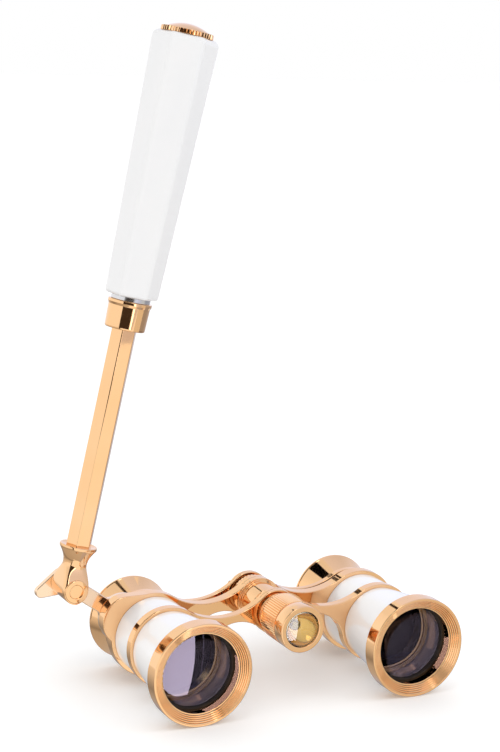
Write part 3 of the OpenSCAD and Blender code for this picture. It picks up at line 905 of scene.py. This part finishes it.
def section(a, b, power):
    """A rounded rectangle or circle as a superellipse, in the plane across the handle."""
    return [(math.copysign(abs(c) ** (2 / power), c) * a, math.copysign(abs(s) ** (2 / power), s) * b)
            for c, s in circle(96)]


def blend(x, *stops):
    """Smooth curve through (x, value) stops."""
    for (x0, v0), (x1, v1) in zip(stops, stops[1:]):
        if x <= x1:
            u = max(0.0, (x - x0) / (x1 - x0))
            u = u * u * (3 - 2 * u)
            return v0 + (v1 - v0) * u
    return stops[-1][1]


def handle_block():
    """Turned flare above a waist that grows into a deep rounded body with an ear ring."""
    low, high = reach("handle_block", HANDLE)
    depth, ear_r, flare_r = (high.y - low.y) / 2, -low.z, high.x
    waist_z, waist_r, box_power = 7.4, 3.65, 14.0
    rows = []
    round_steps, body_steps = 14, 40
    heights = [-ear_r * math.cos(math.radians(90) * k / round_steps) for k in range(round_steps + 1)]
    heights += [high.z * k / body_steps for k in range(1, body_steps - 2)]
    for z in heights:
        if z <= 0:
            a, b, power = math.sqrt(max(ear_r * ear_r - z * z, 0)), depth, box_power
        else:
            a = blend(z, (0, ear_r), (waist_z, waist_r))
            b = blend(z, (0, depth), (1.0, depth), (waist_z, waist_r))
            power = blend(z, (0, box_power), (1.5, 9.0), (waist_z, 2.2))
        if z > waist_z:
            u = (z - waist_z) / (high.z - 0.9 - waist_z)
            a = b = waist_r + (flare_r - waist_r) * min(u, 1.0) ** 1.9
            power = 2.0 + 0.2 * max(0.0, 1 - 3 * u)
        rows.append([Vector((x, y, z)) for x, y in section(max(a, 0.001), b, power)])
        if z > high.z - 1.0:
            break
    rim_z, inner = high.z - 0.75, 4.0
    rim = [(flare_r - 0.02, rim_z), (flare_r, rim_z + 0.15), (flare_r, high.z - 0.15),
           (flare_r - 0.15, high.z), (flare_r - 0.6, high.z), (inner + 0.9, high.z - 0.1),
           (inner + 0.2, high.z - 0.25), (inner - 0.4, high.z - 0.3)]
    for r, z in rim:
        rows.append([Vector((x, y, z)) for x, y in section(r, r, 2.0)])
    faces = skin([[(p, p - Vector((0, 0, p.z))) for p in row] for row in rows])
    lid = [(p.x, p.y, 0, 0) for p in rows[-1]]
    faces += cap([lid], rows[-1][0].z, 1)
    pin_r = reach("pivot_pin", HANDLE)[1].x
    ring = turned([(pin_r + 0.1, 0), (pin_r + 0.1, 0.45, 0.1), (pin_r + 0.4, 0.5, 0.15),
                   (ear_r - 0.55, 0.35, 0.25), (ear_r - 0.4, 0)], 0.1, 72)
    front = Matrix.Translation((0, 0.02 - depth, 0)) @ Matrix.Rotation(math.radians(90), 4, "X")
    faces += moved(ring, front)
    piece("handle_block", HANDLE, faces, None, 40)


def hexagon(radius, fillet, turn=0.0, steps=5):
    corners = [(radius * math.cos(math.radians(a + turn)), radius * math.sin(math.radians(a + turn)))
               for a in range(0, 360, 60)]
    return rounded(corners, fillet, steps)


def shaft_tube():
    low, high = reach("shaft_tube", HANDLE)
    loop = hexagon(high.x, 0.55)
    piece("shaft_tube", HANDLE, slab([loop, hole(0, 0, 2.6, 48)], low.z, high.z, 0.3))


def collar():
    """Sleeve with a flared lip at the grip and a rounded lower edge."""
    low, high = reach("collar", HANDLE)
    lip = reach("collar_washer", HANDLE)[0].z
    top_r, low_r, bore, neck_r = high.x, high.x - 0.55, 4.3, 5.6
    corners = [(bore, low.z, 0.15), (low_r - 0.1, low.z, 0.45), (low_r, low.z + 0.6, 0.2),
               (top_r - 0.35, lip - 1.6, 0.3), (top_r, lip - 0.85, 0.15), (top_r, lip, 0.2),
               (neck_r, lip, 0.05), (neck_r, high.z, 0.1), (bore, high.z, 0.1)]
    piece("collar", HANDLE, turned(corners, 0.1, 96), TURNED_GOLD)


def collar_washer():
    low, high = reach("collar_washer", HANDLE)
    bore = 5.6
    corners = [(high.x, low.z, 0.2), (high.x, high.z, 0.2), (bore, high.z), (bore, low.z)]
    piece("collar_washer", HANDLE, turned(corners, 0.1, 96))


def grip():
    """Six-sided tapered handle with soft edges and rounded ends."""
    turn = -20.0
    low, high = reach("grip", HANDLE)
    length = high.z - low.z
    low_r, top_r, fillet = 8.3, 10.4, 1.6
    slope = (top_r - low_r) / length
    low_edge, top_edge, steps = 1.0, 2.0, 6

    def row(z, inset, bend):
        radius = low_r + slope * (z - low.z)
        loop = hexagon(radius, fillet, turn)
        tilt = math.sin(bend) if abs(bend) > TINY else -slope
        return [(Vector((x - nx * inset, y - ny * inset, z)),
                 Vector((nx * math.cos(bend), ny * math.cos(bend), tilt))) for x, y, nx, ny in loop]

    rows = []
    for k in range(steps + 1):
        bend = math.radians(-90) * (1 - k / steps)
        rows.append(row(low.z + low_edge * (1 + math.sin(bend)), low_edge * (1 - math.cos(bend)), bend))
    stretches = 8
    for k in range(1, stretches):
        rows.append(row(low.z + low_edge + (length - low_edge - top_edge) * k / stretches, 0.0, 0.0))
    for k in range(steps + 1):
        bend = math.radians(90) * k / steps
        rows.append(row(high.z - top_edge * (1 - math.sin(bend)), top_edge * (1 - math.cos(bend)), bend))
    faces = skin(rows)
    for end, up in ((rows[0], -1), (rows[-1], 1)):
        faces += cap([[(p.x, p.y, 0, 0) for p, _ in end]], end[0][0].z, up)
    piece("grip", HANDLE, faces)


def end_cap():
    """Cap with a toothed rim, a groove inside it and a low dome."""
    base = reach("grip", HANDLE)[1].z
    low, high = reach("end_cap", HANDLE)
    r, stem_r, rim_t = 8.0, 4.45, 1.5
    rim_z, inner = base + rim_t, r - 0.9
    dome_z = rim_z - 0.15
    dome_count = 12
    dome = [(inner * (1 - k / dome_count),
             dome_z + (high.z - dome_z) * (1 - (1 - k / dome_count) ** 2), 0.0)
            for k in range(dome_count + 1)]
    corners = [(0, low.z), (stem_r, low.z), (stem_r, base), (r, base, 0.1), (r, rim_z, 0.25),
               (inner + 0.25, rim_z, 0.1), (inner + 0.1, rim_z - 0.3, 0.05)] + dome
    faces = fluted(corners, 48, 0.34, (base - 0.1, rim_z + 0.1), 0.55)
    piece("end_cap", HANDLE, faces, TURNED_GOLD, 35)


for side_name, place in BARREL.items():
    for make in (objective_ring, lens_retainer, objective_lens, front_cone, stop_ring, rear_barrel,
                 eyecup, eye_retainer, eye_lens):
        make(f"{make.__name__}_{side_name}", place)
    bridges(side_name)
for make in (handle_bracket, bracket_screws, pivot_pin, pivot_nut, hinge_column, column_nut, hub_cap,
             focus_knob, lamp, handle_block, shaft_tube, collar, collar_washer, grip, end_cap):
    make()
for node, thing in frame["nodes"].items():
    thing.data.materials.clear()
    thing.data.materials.append(MATERIALS[SLOT_OF[node]])


# ---- floor, light and camera ----

def stage_plane(name, material, corners):
    thing = mesh_object(name, [Vector(c) * MM for c in corners], [(0, 1, 2, 3)], material)
    return thing


def floor():
    material, tree, principled = shader(
        "floor", roughness=0.8, emission_color=(1, 1, 1, 1), emission_strength=0.10)
    greys = (0.93, 0.93, 0.93), (0.95, 0.95, 0.95)
    vary_colour(tree, principled, noise(tree, coordinates(tree), 0.01), *greys)
    size = 4000
    corners = [(-size, -size, 0), (size, -size, 0), (size, size, 0), (-size, size, 0)]
    stage_plane("floor", material, corners).visible_glossy = False


def upright(x, y, z):
    """Corners of an upright card; x, y and z are (from, to)."""
    return [(x[0], y[0], z[0]), (x[1], y[1], z[0]), (x[1], y[1], z[1]), (x[0], y[0], z[1])]


def glow(name, level, clear):
    """A material that only shines; if it is clear, what is behind it shows too."""
    material = bpy.data.materials.new(name)
    material.use_nodes = True
    tree = material.node_tree
    tree.nodes.clear()
    colour = (*[c / max(level) for c in level], 1)
    surface = add(tree, "Emission", color=colour, strength=max(level)).outputs[0]
    if clear:
        both = add(tree, "AddShader")
        tree.links.new(surface, both.inputs[0])
        tree.links.new(add(tree, "BsdfTransparent").outputs[0], both.inputs[1])
        surface = both.outputs[0]
    tree.links.new(surface, add(tree, "OutputMaterial").inputs[0])
    return material


def card(name, level, corners, only=(), clear=False):
    """A flat card that only reflections see.

    With only, no other piece sees its light; it is clear to those if clear is set, or black.
    """
    plane = stage_plane(name, glow(name, level, clear), corners)
    plane.visible_camera = False
    plane.visible_diffuse = False
    plane.visible_shadow = False
    plane.visible_transmission = False
    if only:
        seen_by = bpy.data.collections.new(f"{name}_seen_by")
        for thing in only:
            seen_by.objects.link(thing)
        plane.light_linking.receiver_collection = seen_by


def looks(*slots):
    return [bpy.data.objects[f"{node}_look"] for node, slot in SLOT_OF.items()
            if slot in slots and f"{node}_look" in bpy.data.objects]


def shade_along(tree, component, stops):
    """A colour that follows one component of the direction, with stops from -1 to 1."""
    spread = add(tree, "MapRange", from_min=-1)
    ramp = add(tree, "ValToRGB")
    elements = ramp.color_ramp.elements
    for k, (value, colour) in enumerate(stops):
        place = (value + 1) / 2
        last = k == len(stops) - 1
        element = elements[0] if k == 0 else elements[-1] if last else elements.new(place)
        element.position = place
        element.color = (*colour, 1)
    tree.links.new(component, spread.inputs["Value"])
    tree.links.new(spread.outputs["Result"], ramp.inputs["Fac"])
    return ramp.outputs["Color"]


def world():
    """Plain white for the camera and for diffuse light; reflections see a pale studio."""
    studio = bpy.data.worlds.new("studio")
    studio.use_nodes = True
    tree = studio.node_tree
    tree.nodes.clear()
    split = add(tree, "SeparateXYZ")
    tree.links.new(add(tree, "TexCoord").outputs["Generated"], split.inputs[0])
    brightest, neutral, horizon = 1.1, 0.8, -0.12
    warm = (1, 0.95, 0.88)
    # (sine of the height above the horizon, level): table top, its edge, wall, ceiling
    levels = ((-1, 0.60), (-0.55, 0.50), (-0.46, 0.30), (-0.38, 0.45), (-0.25, 0.72), (-0.14, 0.85),
              (horizon, 1.08), (0.3, brightest), (0.6, 0.95), (1, 0.85))
    by_height = shade_along(tree, split.outputs["Z"], [
        (up, [level / brightest * (c if up < horizon else 1) for c in warm]) for up, level in levels])
    # from grey on the left to a cooler, darker wall on the right
    sideways = shade_along(tree, split.outputs["X"], (
        (-1, (neutral,) * 3), (0.05, (neutral,) * 3), (0.12, (0.77, 0.79, 0.95)),
        (0.45, (0.68, 0.70, 0.85)), (1, (0.5, 0.52, 0.6))))
    both = add(tree, "VectorMath")
    both.operation = "MULTIPLY"
    tree.links.new(by_height, both.inputs[0])
    tree.links.new(sideways, both.inputs[1])
    plain = add(tree, "Background", color=(1, 1, 1, 1))
    reflected = add(tree, "Background", strength=brightest / neutral)
    tree.links.new(both.outputs[0], reflected.inputs["Color"])
    mix = add(tree, "MixShader")
    tree.links.new(add(tree, "LightPath").outputs["Is Glossy Ray"], mix.inputs["Fac"])
    tree.links.new(plain.outputs[0], mix.inputs[1])
    tree.links.new(reflected.outputs[0], mix.inputs[2])
    tree.links.new(mix.outputs[0], add(tree, "OutputWorld").inputs["Surface"])
    bpy.context.scene.world = studio


def lights():
    target = Vector((0, 0, 0.05))
    for name, energy, size, spot in (("key", 0.8, 0.5, (-0.45, -0.35, 0.75)),
                                     ("fill", 0.9, 0.6, (0.6, -0.3, 0.5))):
        data = bpy.data.lights.new(name, "AREA")
        data.energy = energy
        data.size = size
        light = in_scene(name, data)
        light.location = spot
        light.rotation_euler = (target - Vector(spot)).to_track_quat("-Z", "Y").to_euler()
        light.visible_glossy = False


def camera():
    """The view of the reference: from the left, a little above, rolled by a couple of degrees."""
    data = bpy.data.cameras.new("camera")
    data.sensor_fit = "AUTO"
    data.sensor_width = 36
    data.lens = 91.5
    data.clip_start = 0.01
    spot = Vector((-0.25833, -0.51976, 0.21648))
    right = Vector((0.89872, -0.43667, 0.04042)).normalized()
    up = Vector((0.05006, 0.19373, 0.97978)).normalized()
    back = right.cross(up).normalized()
    up = back.cross(right)
    eye = in_scene("camera", data)
    turn = Matrix((right, up, back)).transposed()
    eye.matrix_world = Matrix.Translation(spot) @ turn.to_4x4()
    bpy.context.scene.camera = eye


floor()
every_piece = looks(*SLOT_OF.values())
glass_pieces = looks("coated_glass", "clear_glass", "lamp_dome")
white_pieces = looks("white_enamel", "white_grip")
opaque_pieces = [thing for thing in every_piece if thing not in glass_pieces]
# Softbox in front, ending level with the right barrel, and the darker studio beside it.
card("softbox", (8.0, 7.8, 8.4), upright((-60, 38), (-175, -175), (-110, 70)), glass_pieces, True)
card("window_card", (1.8, 2.0, 3.4), upright((235, 330), (-165, -165), (-110, 75)), glass_pieces, True)
card("bright_left", (1.12, 1.10, 1.06), upright((-260, 60), (-178, -178), (-140, 75)), opaque_pieces)
card("dim_right", (0.80, 0.76, 0.68), upright((62, 330), (-175, -150), (-140, 75)), opaque_pieces)
card("strip_light", (1.9, 1.85, 1.8), upright((-29, 60), (-600, -600), (-100, 1000)),
     looks("rose_gold", "gold_brass"), True)
# Dark strips: one overhead that runs back, one beside the camera. White pieces see them veiled.
strips = {
    "overhead": ((0.03, 0.022, 0.015),
                 [(-26, 1200, 800), (64, 1200, 800), (-97, 436, 800), (-187, 436, 800)]),
    "overhead_front": ((0.10, 0.085, 0.07),
                       [(-187, 436, 800), (-97, 436, 800), (-190, -250, 800), (-340, -250, 800)]),
    "by_camera": ((0.05, 0.035, 0.025), upright((-60, -560), (-600, -330), (-150, 1000)))}
veil, nearer = (1.0, 1.0, 1.0), 0.98
for name, (level, corners) in strips.items():
    card(f"dark_{name}", level, corners)
    card(f"veil_{name}", veil, [[c * nearer for c in corner] for corner in corners], white_pieces, True)
# A low card that the right eyecup sees dark, and every other piece as part of the bright room.
card("cup_shade", (0.96, 0.95, 0.94), [(5, 66, 80), (36, 66, 80), (30, 36, 80), (0, 36, 80)],
     [thing for thing in every_piece if thing.name != "eyecup_right_look"])
world()
lights()
camera()
bpy.context.scene.view_settings.view_transform = "Standard"
